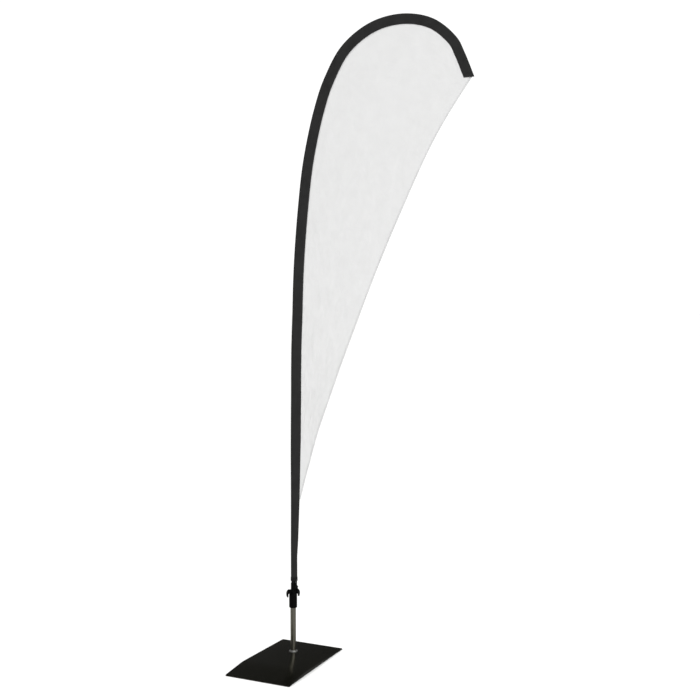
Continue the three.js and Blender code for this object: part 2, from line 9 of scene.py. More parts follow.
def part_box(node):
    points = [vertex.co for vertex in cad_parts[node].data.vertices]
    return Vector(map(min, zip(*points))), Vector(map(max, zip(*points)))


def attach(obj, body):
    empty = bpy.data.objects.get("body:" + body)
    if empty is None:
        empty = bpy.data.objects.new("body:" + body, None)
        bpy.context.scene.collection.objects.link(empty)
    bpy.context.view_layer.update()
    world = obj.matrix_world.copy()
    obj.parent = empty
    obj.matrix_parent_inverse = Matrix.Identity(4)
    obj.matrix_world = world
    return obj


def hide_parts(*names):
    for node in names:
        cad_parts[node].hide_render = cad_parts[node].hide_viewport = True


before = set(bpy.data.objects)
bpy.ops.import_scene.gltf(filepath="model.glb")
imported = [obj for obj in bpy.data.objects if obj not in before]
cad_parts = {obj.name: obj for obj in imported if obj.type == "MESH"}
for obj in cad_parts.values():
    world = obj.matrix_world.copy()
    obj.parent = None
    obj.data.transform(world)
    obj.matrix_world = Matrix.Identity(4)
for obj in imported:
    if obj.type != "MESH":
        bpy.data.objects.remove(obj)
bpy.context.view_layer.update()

mm = 0.001
up = Vector((0, 0, 1))
tubeLow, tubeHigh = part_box("spindle_tube")
post = Vector(((tubeLow[0] + tubeHigh[0]) / 2, (tubeLow[1] + tubeHigh[1]) / 2, 0))  # foot of the post's axis
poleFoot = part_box("pole_bottom")[0][2]
plateTurn = math.radians(-25)
collarTurn = math.radians(25)
print("frame ready")

# Camera

shot = {"lens": 57.6, "sensor": 36, "aside": 0.2486, "away": 4.808, "height": 1.669, "down": 4}
cameraData = bpy.data.cameras.new("studioCamera")
cameraData.lens = shot["lens"]
cameraData.sensor_width = shot["sensor"]
camera = bpy.data.objects.new("studioCamera", cameraData)
camera.location = post + Vector((shot["aside"], -shot["away"], shot["height"]))
camera.rotation_euler = (math.radians(90 - shot["down"]), 0, 0)
bpy.context.collection.objects.link(camera)
bpy.context.scene.camera = camera


# Lines and shared helpers

def throughPoints(points, perSpan=10):
    # a smooth line that passes every point without overshooting
    points = [Vector(p) for p in points]
    padded = [points[0] * 2 - points[1], *points, points[-1] * 2 - points[-2]]
    line = []
    for k in range(1, len(padded) - 2):
        a, b, c, d = padded[k - 1:k + 3]
        first, span, last = (math.sqrt((q - p).length) for p, q in ((a, b), (b, c), (c, d)))
        leave = ((b - a) / first - (c - a) / (first + span) + (c - b) / span) * span
        arrive = ((c - b) / span - (d - b) / (span + last) + (d - c) / last) * span
        for i in range(perSpan):
            t = i / perSpan
            line.append(b + leave * t + (c * 3 - b * 3 - leave * 2 - arrive) * t ** 2
                        + (b * 2 - c * 2 + leave + arrive) * t ** 3)
    return line + [points[-1]]


def runOf(line):
    # how far along the line each of its points is
    run = [0.0]
    for a, b in zip(line, line[1:]):
        run.append(run[-1] + (b - a).length)
    return run


def flatRun(points):
    # the same for flat (x, y) points
    run = [0.0]
    for (ax, ay), (bx, by) in zip(points, points[1:]):
        run.append(run[-1] + math.hypot(bx - ax, by - ay))
    return run


def pointOn(line, run, place):
    k = min(max(bisect.bisect_right(run, place) - 1, 0), len(line) - 2)
    return line[k].lerp(line[k + 1], (place - run[k]) / (run[k + 1] - run[k]))


def graded(pairs, place):
    # straight steps through (place, value) pairs
    if place <= pairs[0][0]:
        return pairs[0][1]
    for (start, low), (end, high) in zip(pairs, pairs[1:]):
        if place < end:
            return low + (high - low) * (place - start) / (end - start)
    return pairs[-1][1]


def quadratic(a, b, c, steps=5):
    return [tuple((1 - t) ** 2 * p + 2 * t * (1 - t) * q + t * t * r for p, q, r in zip(a, b, c))
            for t in ((i + 1) / steps for i in range(steps))]


def cubic(a, b, c, d, steps=8):
    return [tuple((1 - t) ** 3 * p + 3 * t * (1 - t) ** 2 * q + 3 * t * t * (1 - t) * r + t ** 3 * s
                  for p, q, r, s in zip(a, b, c, d)) for t in ((i + 1) / steps for i in range(steps))]


def shaded(bm, limit=38):
    bm.normal_update()
    for face in bm.faces:
        face.smooth = True
    for edge in bm.edges:
        edge.smooth = len(edge.link_faces) != 2 or edge.calc_face_angle(0) < math.radians(limit)


def meshOf(name, bm):
    mesh = bpy.data.meshes.new(name)
    bm.to_mesh(mesh)
    bm.free()
    return mesh


def linked(name, data):
    thing = bpy.data.objects.new(name, data)
    bpy.context.collection.objects.link(thing)
    return thing


def makePiece(name, bm, material, body, stands=(), limit=38):
    shaded(bm, limit)
    piece = linked(name, meshOf(name, bm))
    piece.data.materials.append(material)
    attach(piece, body)
    if stands:
        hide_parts(*stands)
    return piece


def settleModifiers(piece):
    # the shape with its modifiers becomes the piece's own mesh
    graph = bpy.context.evaluated_depsgraph_get()
    graph.update()
    mesh = bpy.data.meshes.new_from_object(piece.evaluated_get(graph), depsgraph=graph)
    piece.modifiers.clear()
    old = piece.data
    piece.data = mesh
    bpy.data.meshes.remove(old)


def thicken(piece, thickness, offset=-1, rounding=0):
    # the sheet grows to its inside at an offset of -1, and to both sides at 0
    wall = piece.modifiers.new("wall", "SOLIDIFY")
    wall.thickness, wall.offset = thickness, offset
    if rounding:
        rounded = piece.modifiers.new("rounded", "BEVEL")
        rounded.width, rounded.segments, rounded.limit_method = rounding, 2, "ANGLE"
    settleModifiers(piece)


def welded(bm):
    bmesh.ops.remove_doubles(bm, verts=bm.verts, dist=1e-6)
    bmesh.ops.recalc_face_normals(bm, faces=bm.faces)


def spun(profile, steps=96, centre=post):
    # a profile of (radius, height) turned about the post's axis; the same first and last point make it hollow
    bm = bmesh.new()
    ring = profile[0] == profile[-1]
    points = profile[:-1] if ring else profile
    verts = [bm.verts.new((radius, 0, height)) for radius, height in points]
    edges = [bm.edges.new(pair) for pair in zip(verts, verts[1:])]
    if ring:
        edges.append(bm.edges.new((verts[-1], verts[0])))
    bmesh.ops.spin(bm, geom=verts + edges, cent=(0, 0, 0), axis=(0, 0, 1), angle=math.tau, steps=steps, use_merge=True)
    welded(bm)
    bmesh.ops.translate(bm, verts=bm.verts, vec=centre)
    return bm


def extrude(bm, faces, move):
    grown = bmesh.ops.extrude_face_region(bm, geom=faces)
    bmesh.ops.translate(bm, verts=[v for v in grown["geom"] if isinstance(v, bmesh.types.BMVert)], vec=move)
    bmesh.ops.recalc_face_normals(bm, faces=bm.faces)


def setDown(bm, turn, place=post):
    # turns a shape that was made at the origin, and moves it to its place
    bmesh.ops.rotate(bm, verts=bm.verts, cent=(0, 0, 0), matrix=Matrix.Rotation(turn, 3, "Z"))
    bmesh.ops.translate(bm, verts=bm.verts, vec=place)


def roundBar(radius, depth, place):
    bm = bmesh.new()
    bmesh.ops.create_cone(bm, cap_ends=True, segments=32, radius1=radius, radius2=radius, depth=depth, matrix=place)
    return bm


def combined(piece, tool, operation):
    # joins or cuts a piece with another shape
    mesh = meshOf("tool", tool)
    helper = linked("tool", mesh)
    modifier = piece.modifiers.new("shape", "BOOLEAN")
    modifier.object, modifier.operation, modifier.solver = helper, operation, "EXACT"
    settleModifiers(piece)
    bpy.data.objects.remove(helper)
    bpy.data.meshes.remove(mesh)


def reshade(piece):
    bm = bmesh.new()
    bm.from_mesh(piece.data)
    shaded(bm)
    bm.to_mesh(piece.data)
    bm.free()


def tubeAlong(name, points, radii, sides=6, closed=False, caps=True):
    # a round tube along points, as a mesh with its length and its turn as UV
    curve = bpy.data.curves.new(name, "CURVE")
    curve.dimensions = "3D"
    spline = curve.splines.new("POLY")
    spline.points.add(len(points) - 1)
    for k, p in enumerate(points):
        spline.points[k].co = (*p, 1)
        spline.points[k].radius = radii[k]
    spline.use_cyclic_u = closed
    curve.bevel_depth = 1
    curve.bevel_resolution = sides
    curve.use_fill_caps = caps
    helper = linked(name, curve)
    graph = bpy.context.evaluated_depsgraph_get()
    mesh = bpy.data.meshes.new_from_object(helper.evaluated_get(graph), depsgraph=graph)
    bpy.data.objects.remove(helper)
    bpy.data.curves.remove(curve)
    bm = bmesh.new()
    bm.from_mesh(mesh)
    bpy.data.meshes.remove(mesh)
    welded(bm)
    return bm


def gridOf(columns, rows, place):
    # a cloth grid whose (column, row) points are put in place, with both kept as attributes
    bm = bmesh.new()
    bmesh.ops.create_grid(bm, x_segments=columns, y_segments=rows, size=0.5)
    columnLayer = bm.verts.layers.int.new("column")
    rowLayer = bm.verts.layers.int.new("row")
    for vert in bm.verts:
        column = round((vert.co.x + 0.5) * columns)
        row = round((vert.co.y + 0.5) * rows)
        vert[columnLayer], vert[rowLayer] = column, row
        vert.co = place(column, row)
    return bm, columnLayer, rowLayer


def laidOut(bm, place):
    # UV in metres from place(vertex): along the piece, then across it
    layer = bm.loops.layers.uv.get("cloth") or bm.loops.layers.uv.new("cloth")
    for face in bm.faces:
        for loop in face.loops:
            loop[layer].uv = place(loop.vert)


# Materials

def linear(code):
    # sRGB hex to linear
    parts = [int(code[i:i + 2], 16) / 255 for i in (1, 3, 5)]
    return [p / 12.92 if p <= 0.04045 else ((p + 0.055) / 1.055) ** 2.4 for p in parts] + [1.0]


def addNode(tree, kind, settings=None, links=None):
    node = tree.nodes.new(kind)
    for key, value in (settings or {}).items():
        if isinstance(key, int) or key in node.inputs:
            node.inputs[key].default_value = value
        else:
            setattr(node, key, value)
    for key, source in (links or {}).items():
        tree.links.new(source, node.inputs[key])
    return node


def startMaterial(name, settings):
    material = bpy.data.materials.new(name)
    material.use_nodes = True
    tree = material.node_tree
    tree.nodes.clear()
    shader = addNode(tree, "ShaderNodeBsdfPrincipled", settings)
    addNode(tree, "ShaderNodeOutputMaterial", links={"Surface": shader.outputs["BSDF"]})
    return material, tree, shader


def objectSpace(tree):
    return addNode(tree, "ShaderNodeTexCoord").outputs["Object"]


def tones(tree, source, low, high, start=0.3, end=0.7):
    ramp = addNode(tree, "ShaderNodeValToRGB", links={"Fac": source})
    first, last = ramp.color_ramp.elements
    first.position, last.position = start, end
    first.color, last.color = linear(low), linear(high)
    return ramp.outputs["Color"]


def spreadOver(tree, source, low, high):
    return addNode(tree, "ShaderNodeMapRange", {"To Min": low, "To Max": high, "From Min": 0.3, "From Max": 0.7},
                   {"Value": source}).outputs["Result"]


def mathOf(tree, operation, *values):
    # each value is a number or another node's output
    node = addNode(tree, "ShaderNodeMath", {"operation": operation})
    for k, value in enumerate(values):
        if isinstance(value, (int, float)):
            node.inputs[k].default_value = value
        else:
            tree.links.new(value, node.inputs[k])
    return node.outputs[0]


def noiseAt(tree, at, scale, detail, roughness=0.5):
    return addNode(tree, "ShaderNodeTexNoise", {"Scale": scale, "Detail": detail, "Roughness": roughness},
                   {"Vector": at}).outputs["Fac"]


def dressed(tree, shader, colour, height, strength, depth, roughness=None):
    tree.links.new(colour, shader.inputs["Base Color"])
    if roughness:
        tree.links.new(roughness, shader.inputs["Roughness"])
    bump = addNode(tree, "ShaderNodeBump", {"Strength": strength, "Distance": depth}, {"Height": height})
    tree.links.new(bump.outputs["Normal"], shader.inputs["Normal"])


def glossEnamel():
    # baked black enamel on sheet steel: deep gloss with slight orange peel and a few dull hand marks
    material, tree, shader = startMaterial("bakedBlackEnamel", {
        "Base Color": linear("#0d0d0b"), "IOR": 1.48, "Specular Tint": linear("#fff8dc"), "Coat Weight": 0.12,
        "Coat Roughness": 0.04})
    at = objectSpace(tree)
    marks = noiseAt(tree, at, 14, 5, 0.6)
    peel = noiseAt(tree, at, 300, 1)  # ripple about 3 mm apart
    dust = noiseAt(tree, at, 1400, 2)  # specks under 1 mm
    dressed(tree, shader, tones(tree, dust, "#0a0a07", "#15150f", 0.45, 0.85), peel, 0.25, 0.00008,
            spreadOver(tree, marks, 0.14, 0.24))
    return material


def steel(name, colour, lines, low, high, darker, cloudy=0.5, metallic=1.0):
    # bare or plated steel; lines are how many tool marks there are to the metre along X, Y and Z
    material, tree, shader = startMaterial(name, {"Base Color": linear(colour), "Metallic": metallic})
    at = objectSpace(tree)
    middle = addNode(tree, "ShaderNodeMapping", {"Location": (-post.x, -post.y, 0)}, {"Vector": at})
    stretched = addNode(tree, "ShaderNodeMapping", {"Scale": lines}, {"Vector": middle.outputs["Vector"]})
    marks = noiseAt(tree, stretched.outputs["Vector"], 1, 4, 0.6)
    clouds = noiseAt(tree, at, 45, 3)
    both = mathOf(tree, "MULTIPLY_ADD", marks, 1 - cloudy, mathOf(tree, "MULTIPLY", clouds, cloudy))
    dressed(tree, shader, tones(tree, both, darker, colour, 0.35, 0.6), marks, 0.2, 0.00004,
            spreadOver(tree, both, low, high))
    return material


def mouldedPlastic(name, colour, lighter, roughness, grain=1300, ior=1.53):
    # injection-moulded nylon or rubber: a fine spark-eroded grain, slightly shinier where it is handled
    material, tree, shader = startMaterial(name, {"IOR": ior, "Specular IOR Level": 0.12})
    at = objectSpace(tree)
    pits = noiseAt(tree, at, grain, 3, 0.7)
    worn = noiseAt(tree, at, 60, 3)
    dressed(tree, shader, tones(tree, pits, colour, lighter, 0.35, 0.75), pits, 0.35, 0.00012,
            spreadOver(tree, worn, roughness, roughness + 0.14))
    return material


def wrappedFibre():
    # filament-wound glass fibre in dark resin: faint crossing bands, about 4 mm wide, under a satin skin
    material, tree, shader = startMaterial("woundGlassFibre", {
        "IOR": 1.54, "Specular IOR Level": 0.3, "Coat Weight": 0.04, "Coat Roughness": 0.3})
    at = objectSpace(tree)
    bands = addNode(tree, "ShaderNodeTexWave", {
        "bands_direction": "DIAGONAL", "Scale": 42, "Distortion": 1.5, "Detail": 2}, {"Vector": at}).outputs["Fac"]
    hair = noiseAt(tree, at, 900, 2)
    dressed(tree, shader, tones(tree, bands, "#060607", "#0e0e10", 0.2, 0.8), bands, 0.2, 0.00005,
            spreadOver(tree, hair, 0.4, 0.55))
    return material


stitchSizes = {"halfWidth": 0.00055, "pitch": 0.0036, "gap": -0.55}  # the gap is where the sine wave is below this


def wovenCloth(name, dark, light, thread, sheen, mottle, seams=(), seamColour=None, rough=0.82, depth=0.0003):
    # plain-woven polyester, its threads laid along the piece's own UV; thread is their spacing in metres
    material, tree, shader = startMaterial(name, {"IOR": 1.5, "Sheen Weight": sheen, "Sheen Roughness": 0.5})
    uv = addNode(tree, "ShaderNodeUVMap", {"uv_map": "cloth"}).outputs["UV"]
    parts = addNode(tree, "ShaderNodeSeparateXYZ", links={"Vector": uv})
    along, across = parts.outputs["X"], parts.outputs["Y"]
    warp, weft = (mathOf(tree, "SINE", mathOf(tree, "MULTIPLY", way, math.pi / thread)) for way in (along, across))
    weave = addNode(tree, "ShaderNodeMapRange", {"From Min": -1, "From Max": 1},
                    {"Value": mathOf(tree, "MULTIPLY", warp, weft)}).outputs["Result"]
    at = objectSpace(tree)
    cloud = noiseAt(tree, at, mottle, 4, 0.55)
    slub = noiseAt(tree, at, 500, 2)
    mixed = mathOf(tree, "MULTIPLY_ADD", weave, 0.25, mathOf(tree, "MULTIPLY", cloud, 0.75))
    colour = tones(tree, mixed, dark, light, 0.25, 0.75)
    height = mathOf(tree, "MULTIPLY_ADD", slub, 0.3, weave)
    for place in seams:  # a row of stitches 2.5 mm long and 1.1 mm wide, at that place across the piece
        near = mathOf(tree, "COMPARE", across, place, stitchSizes["halfWidth"])
        beat = mathOf(tree, "SINE", mathOf(tree, "MULTIPLY", along, math.tau / stitchSizes["pitch"]))
        stitch = mathOf(tree, "MULTIPLY", near, mathOf(tree, "GREATER_THAN", beat, stitchSizes["gap"]))
        mixer = addNode(tree, "ShaderNodeMix", {"data_type": "RGBA"}, {"Factor": stitch})
        tree.links.new(colour, mixer.inputs[6])
        mixer.inputs[7].default_value = linear(seamColour or light)
        colour = mixer.outputs[2]
        height = mathOf(tree, "MULTIPLY_ADD", stitch, 2.5, height)
    dressed(tree, shader, colour, height, 0.4, depth, spreadOver(tree, cloud, rough - 0.04, rough + 0.08))
    return material


def braidedCover():
    # round elastic in a braided polyester cover: threads 0.8 mm wide cross at a slant round the cord
    material, tree, shader = startMaterial("braidedElasticCover", {"IOR": 1.5, "Sheen Weight": 0.02, "Roughness": 0.7})
    at = objectSpace(tree)
    ways = []
    for lean in (0.8, -0.8):
        turned = addNode(tree, "ShaderNodeMapping", {"Rotation": (lean, 0.5, lean)}, {"Vector": at})
        ways.append(addNode(tree, "ShaderNodeTexWave", {"Scale": 190, "Distortion": 0.3},
                            {"Vector": turned.outputs["Vector"]}).outputs["Fac"])
    braid = mathOf(tree, "MULTIPLY", *ways)
    dressed(tree, shader, tones(tree, braid, "#060606", "#141414", 0.05, 0.6), braid, 0.6, 0.0003)
    return material


enamel = glossEnamel()
# the plated ring is turned, so its marks run round it, and the tube is drawn, so they run up it
plated = steel("polishedNickelPlate", "#e2e2df", (60, 60, 2600), 0.3, 0.42, "#cfcfcb", metallic=0.92)
drawnTube = steel("drawnSteelTube", "#b1ae9f", (260, 260, 3), 0.24, 0.34, "#959283", cloudy=0.12)
machined = steel("machinedSteel", "#9a9c9d", (90, 90, 1500), 0.25, 0.4, "#77797a")
bearingSteel = steel("groundBearingSteel", "#b4b6b7", (80, 80, 2200), 0.12, 0.22, "#8f9192")
blackScrew = steel("blackenedScrewSteel", "#2b2c2d", (300, 300, 300), 0.3, 0.45, "#1c1c1d")
nylon = mouldedPlastic("mouldedGlassNylon", "#020202", "#070707", 0.32)
capPlastic = mouldedPlastic("shrunkPolyolefin", "#030303", "#090909", 0.5, 900)
sealRubber = mouldedPlastic("nitrileRubber", "#161616", "#202020", 0.7, 700, 1.52)
fibre = wrappedFibre()
# the real threads are about 0.25 mm apart, and are drawn coarser so that they can be seen
pocketCloth = wovenCloth("wovenBlackPolyester", "#151515", "#222222", 0.0011, 0.05, 30,
                         seams=(0.0035,), seamColour="#2f2f2f")
bindingWeb = wovenCloth("ribbedPolyesterWebbing", "#080808", "#141414", 0.0009, 0.01, 60,
                        seams=(0.0022, 0.0148), seamColour="#1d1d1d", depth=0.0005)
strapWeb = wovenCloth("doubledPolyesterWebbing", "#060606", "#101010", 0.0009, 0.01, 60, seams=(0.003, 0.0078),
                      seamColour="#161616", depth=0.0005)
flagWeave = wovenCloth("knittedWhitePolyester", "#cdcdcd", "#d2d2d2", 0.0009, 0.15, 22, rough=0.78, depth=0.00015)
hemWeave = wovenCloth("foldedWhiteHem", "#c1c1c1", "#cdcdcd", 0.0009, 0.15, 20,
                      seams=(0.0016,), seamColour="#d8d8d8", rough=0.78, depth=0.0002)
elasticCover = braidedCover()
print("materials ready")

# Elastic, from its knot through the strap's loop and under the horn

elastic = {"radius": 2.3 * mm, "route": [
    (0.0170, -0.0054, 0.3020), (0.0152, -0.0077, 0.3076), (0.0136, -0.0083, 0.3136), (0.0129, -0.0064, 0.3179),
    (0.0128, -0.0032, 0.3191), (0.0128, 0.0032, 0.3191), (0.0129, 0.0064, 0.3179), (0.0132, 0.0088, 0.3134),
    (0.0134, 0.0107, 0.3060), (0.0134, 0.0138, 0.2960), (0.0136, 0.0156, 0.2880), (0.0149, 0.0160, 0.2750),
    (0.0152, 0.0157, 0.2686), (0.0164, 0.0131, 0.2653), (0.0185, 0.0086, 0.2649), (0.0206, 0.0041, 0.2653),
    (0.0218, 0.0016, 0.2686), (0.0218, 0.0011, 0.2750), (0.0208, -0.0004, 0.2840), (0.0187, -0.0032, 0.2931)]}
elasticLine = [post + p for p in throughPoints(elastic["route"], 6)]
elasticLength = runOf(elasticLine)[-1]
knot = {"centre": (0.0178, -0.0044, 0.2981), "strand": 1.6 * mm, "size": 1.2 * mm, "steps": 72}
knotCentre = post + Vector(knot["centre"])
# an overhand knot: a strand that goes three times through itself
knotLine = [knotCentre + knot["size"] * Vector((math.sin(t) + 2 * math.sin(2 * t), -1.1 * math.sin(3 * t),
                                                math.cos(t) - 2 * math.cos(2 * t)))
            for t in (math.tau * i / knot["steps"] for i in range(knot["steps"]))]
pullKnot = makePiece("pullKnot", tubeAlong("pullKnot", knotLine, [knot["strand"]] * knot["steps"], 4, closed=True),
                     elasticCover, "flag", ["elastic_knot"], 60)
pullElastic = makePiece("pullElastic", tubeAlong("pullElastic", elasticLine, [elastic["radius"]] * len(elasticLine), 4),
                        elasticCover, "flag", ["elastic_cord"], 60)
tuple(elasticLine[0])
print("elastic ready", round(elasticLength, 4))

# Foot plate

plate = {"length": 500 * mm, "width": 300 * mm, "thickness": 5 * mm, "corner": 4 * mm, "rim": 0.7 * mm,
         "postFromBack": 135 * mm, "postFromLeft": 125 * mm, "foldFromBack": 360 * mm, "rise": 12 * mm,
         "roundBack": 30 * mm, "roundFront": 24 * mm, "foldCuts": 15}
plateSlope = plate["rise"] / plate["foldFromBack"]
plateTop = plateSlope * plate["postFromBack"] + plate["thickness"]  # at the post


def foldLift(y):
    # height of the sheet's underside at y, which runs to its back from the post
    back = plate["postFromBack"]
    fold = back - plate["foldFromBack"]
    front = plate["length"] - plate["foldFromBack"]
    near, far = plate["roundBack"], plate["roundFront"]
    if y >= fold + near:
        return plateSlope * (back - y)
    if y <= fold - far:
        return plate["rise"] * (1 - (fold - y) / front)
    a, b, c = near - far, -2 * near, near - (y - fold)
    t = (-b - math.sqrt(b * b - 4 * a * c)) / (2 * a)
    return ((1 - t) ** 2 * (plate["rise"] - near * plateSlope) + 2 * t * (1 - t) * plate["rise"]
            + t * t * plate["rise"] * (1 - far / front))


def footPlate():
    bm = bmesh.new()
    bmesh.ops.create_grid(bm, x_segments=1, y_segments=1, size=0.5)
    bmesh.ops.scale(bm, verts=bm.verts, vec=(plate["width"], plate["length"], 1))
    bmesh.ops.translate(bm, verts=bm.verts, vec=(
        plate["width"] / 2 - plate["postFromLeft"], plate["postFromBack"] - plate["length"] / 2, 0))
    bmesh.ops.bevel(bm, geom=bm.verts[:], offset=plate["corner"], affect="VERTICES", segments=8, profile=0.5,
                    material=-1)
    extrude(bm, bm.faces[:], (0, 0, plate["thickness"]))
    rim = [e for e in bm.edges if abs(e.verts[0].co.z - e.verts[1].co.z) < 1e-7 and e.calc_face_angle(0) > 1]
    bmesh.ops.bevel(bm, geom=rim, offset=plate["rim"], affect="EDGES", segments=3, profile=0.5, material=-1)
    fold = plate["postFromBack"] - plate["foldFromBack"]
    for k in range(plate["foldCuts"]):
        y = fold - plate["roundFront"] + (plate["roundBack"] + plate["roundFront"]) * k / (plate["foldCuts"] - 1)
        bmesh.ops.bisect_plane(bm, geom=bm.verts[:] + bm.edges[:] + bm.faces[:], plane_co=(0, y, 0),
                               plane_no=(0, 1, 0))
    for vert in bm.verts:
        vert.co.z += foldLift(vert.co.y)
    setDown(bm, plateTurn)
    return bm


lip = {"inset": 3 * mm, "thickness": 1.6 * mm, "fromBack": 20 * mm, "shorter": 32 * mm, "foot": 0.15 * mm,
       "gap": 0.2 * mm, "steps": 60}


def shadeLip(x):
    # a lip turned down under a long edge, which closes the gap below the fold; its dark enamel is painted shade,
    # standing in for the shadow under the raised plate
    def place(column, row):
        y = plate["postFromBack"] - lip["fromBack"] - (plate["length"] - lip["shorter"]) * column / lip["steps"]
        return Vector((x, y, lip["foot"] + (foldLift(y) - lip["gap"]) * row))

    bm = gridOf(lip["steps"], 1, place)[0]
    extrude(bm, bm.faces[:], (math.copysign(lip["thickness"], -x), 0, 0))
    setDown(bm, plateTurn)
    return bm


# painted shade: two dark lips fill the gaps under the plate's long edges, where there is only shadow below the fold
leftSide, rightSide = -plate["postFromLeft"], plate["width"] - plate["postFromLeft"]
makePiece("leftShadeLip", shadeLip(leftSide + lip["inset"]), enamel, "base", ())
makePiece("rightShadeLip", shadeLip(rightSide - lip["inset"]), enamel, "base", ())
basePlate = makePiece("foldedPlate", footPlate(), enamel, "base", ["base_plate"])
axleHole = {"head": 8 * mm, "clearance": 0.3 * mm, "bore": 4.3 * mm, "cone": 4 * mm, "past": 10 * mm}
seat = plateTop - plate["thickness"] + axleHole["head"] * plateSlope + axleHole["clearance"]
countersink = axleHole["head"] + axleHole["clearance"]
combined(basePlate, spun([
    (0, -axleHole["past"]), (countersink, -axleHole["past"]), (countersink, seat),
    (axleHole["bore"], seat + axleHole["cone"]), (axleHole["bore"], plateTop + axleHole["past"]),
    (0, plateTop + axleHole["past"])], 48), "DIFFERENCE")
reshade(basePlate)

# Bright flanged ring at the foot of the post, cut to lie on the sloping plate

ringSizes = {"radius": 19 * mm, "height": 5.5 * mm, "flange": 2.9 * mm, "edge": 1.3 * mm, "boss": 12.6 * mm,
             "bore": 4.3 * mm, "fillet": 1.2 * mm, "bevel": 0.4 * mm, "bedding": 0.3 * mm}
ringTop = plateTop + ringSizes["height"]


def footRing():
    r, edge, bore, boss, fillet = (ringSizes[key] for key in ("radius", "edge", "bore", "boss", "fillet"))
    flangeTop = plateTop + ringSizes["flange"]
    rim = [(r - edge + edge * math.sin(a), flangeTop - edge + edge * math.cos(a))
           for a in (math.pi / 2 * (1 - k / 8) for k in range(9))]
    rim += quadratic((boss + fillet, flangeTop), (boss, flangeTop), (boss, flangeTop + fillet))
    rim += [(boss, ringTop - ringSizes["bevel"]), (boss - ringSizes["bevel"], ringTop)]
    bm = spun([(bore, 0), (r, 0), *rim, (bore, ringTop), (bore, 0)], 128, Vector())
    slopeNormal = Matrix.Rotation(plateTurn, 3, "Z") @ Vector((0, plateSlope, 1)).normalized()
    sliced = bmesh.ops.bisect_plane(bm, geom=bm.verts[:] + bm.edges[:] + bm.faces[:], clear_inner=True,
                                    plane_co=(0, 0, plateTop + ringSizes["bedding"]), plane_no=slopeNormal)
    rims = [e for e in sliced["geom_cut"] if isinstance(e, bmesh.types.BMEdge)]
    bmesh.ops.triangle_fill(bm, edges=rims, use_beauty=True)
    bmesh.ops.recalc_face_normals(bm, faces=bm.faces)
    bmesh.ops.translate(bm, verts=bm.verts, vec=post)
    return bm


makePiece("footRing", footRing(), plated, "base", ["foot_flange"])

# Post and the spigot in its top

tube = {"low": tubeLow[2], "high": tubeHigh[2], "radius": 12 * mm, "bore": 9.5 * mm, "edge": 0.4 * mm,
        "pinDown": 15 * mm, "pinRadius": 2.3 * mm, "pinLength": 40 * mm}
bevelled = tube["radius"] - tube["edge"]
turningPost = makePiece("turningPost", spun([
    (tube["bore"], tube["low"]), (bevelled, tube["low"]), (tube["radius"], tube["low"] + tube["edge"]),
    (tube["radius"], tube["high"] - tube["edge"]), (bevelled, tube["high"]), (tube["bore"], tube["high"]),
    (tube["bore"], tube["low"])]), drawnTube, "spindle", ["spindle_tube"])
pinPlace = Matrix.Translation(post + up * (tube["high"] - tube["pinDown"])) @ Matrix.Rotation(math.pi / 2, 4, "X")
combined(turningPost, roundBar(tube["pinRadius"], tube["pinLength"], pinPlace), "DIFFERENCE")
reshade(turningPost)

spigot = {"rise": 112 * mm, "radius": 5.8 * mm, "plug": 9.2 * mm, "plugDown": 30 * mm, "plugEdge": 1 * mm,
          "head": 12 * mm, "headFoot": tubeHigh[2] + 0.3 * mm, "headHigh": tubeHigh[2] + 5.6 * mm,
          "headEdge": 0.4 * mm, "tip": [(0, 3 * mm), (0.5 * mm, 1.5 * mm), (2 * mm, 0)]}
spigotTop = spigot["headHigh"] + spigot["rise"]
plugFoot = tube["high"] - spigot["plugDown"]
makePiece("poleSpigot", spun([
    (0, plugFoot), (spigot["plug"] - spigot["plugEdge"], plugFoot), (spigot["plug"], plugFoot + spigot["plugEdge"]),
    (spigot["plug"], spigot["headFoot"]), (spigot["head"] - spigot["headEdge"], spigot["headFoot"]),
    (spigot["head"], spigot["headFoot"] + spigot["headEdge"]),
    (spigot["head"], spigot["headHigh"] - spigot["headEdge"]),
    (spigot["head"] - spigot["headEdge"], spigot["headHigh"]), (spigot["radius"], spigot["headHigh"]),
    *[(spigot["radius"] - narrower, spigotTop - below) for narrower, below in spigot["tip"]], (0, spigotTop)], 64),
    machined, "spindle", ["spigot"])
print("plate and post ready")

# Collar with its two hooked horns

collarFoot = tubeHigh[2] - 27.5 * mm
# in millimetres: the profile is (radius, height), and each step of the horn's outline is a straight line to one point,
# or a curve with one or two handles before its last point
collar = {
    "profile": [(12.4, 0), (14.5, 0), (16.6, 0.9), (17.5, 3), (17.5, 60), (16.6, 62.1), (13.5, 67), (13.5, 78),
                (12.3, 80), (8, 80), (8, 33.4), (12.4, 33.4), (12.4, 0)],
    "horn": [[(11, 55)], [(13.5, 59)], [(14.5, 63), (18.8, 63)], [(21.1, 63)], [(23.1, 63), (23.1, 61)],
             [(23.7, 48)], [(24.1, 47), (25.6, 47)], [(27.9, 47), (29.1, 51)], [(31.3, 57), (32.3, 67), (28.5, 75)],
             [(25.5, 80), (18, 82)], [(11, 79)]],
    "hornWidth": 10, "hornEdge": 1, "bore": 8, "step": 33.4, "past": 100, "screwRadius": 2.3, "screwUp": 41,
    "screwOut": 14, "screwLength": 16, "grain": 0.75}


def hornShape(side):
    line = []
    for step in collar["horn"]:
        line += step if len(step) == 1 else (quadratic, cubic)[len(step) - 2](line[-1], *step)
    bm = bmesh.new()
    face = bm.faces.new([bm.verts.new((x * mm, -collar["hornWidth"] / 2 * mm, z * mm)) for x, z in line])
    extrude(bm, [face], (0, collar["hornWidth"] * mm, 0))
    sides = [e for e in bm.edges if abs(e.verts[0].co.y - e.verts[1].co.y) < 1e-7]
    bmesh.ops.bevel(bm, geom=sides, offset=collar["hornEdge"] * mm, affect="EDGES", segments=2, profile=0.5,
                    material=-1)
    setDown(bm, collarTurn + side, post + up * collarFoot)
    return bm


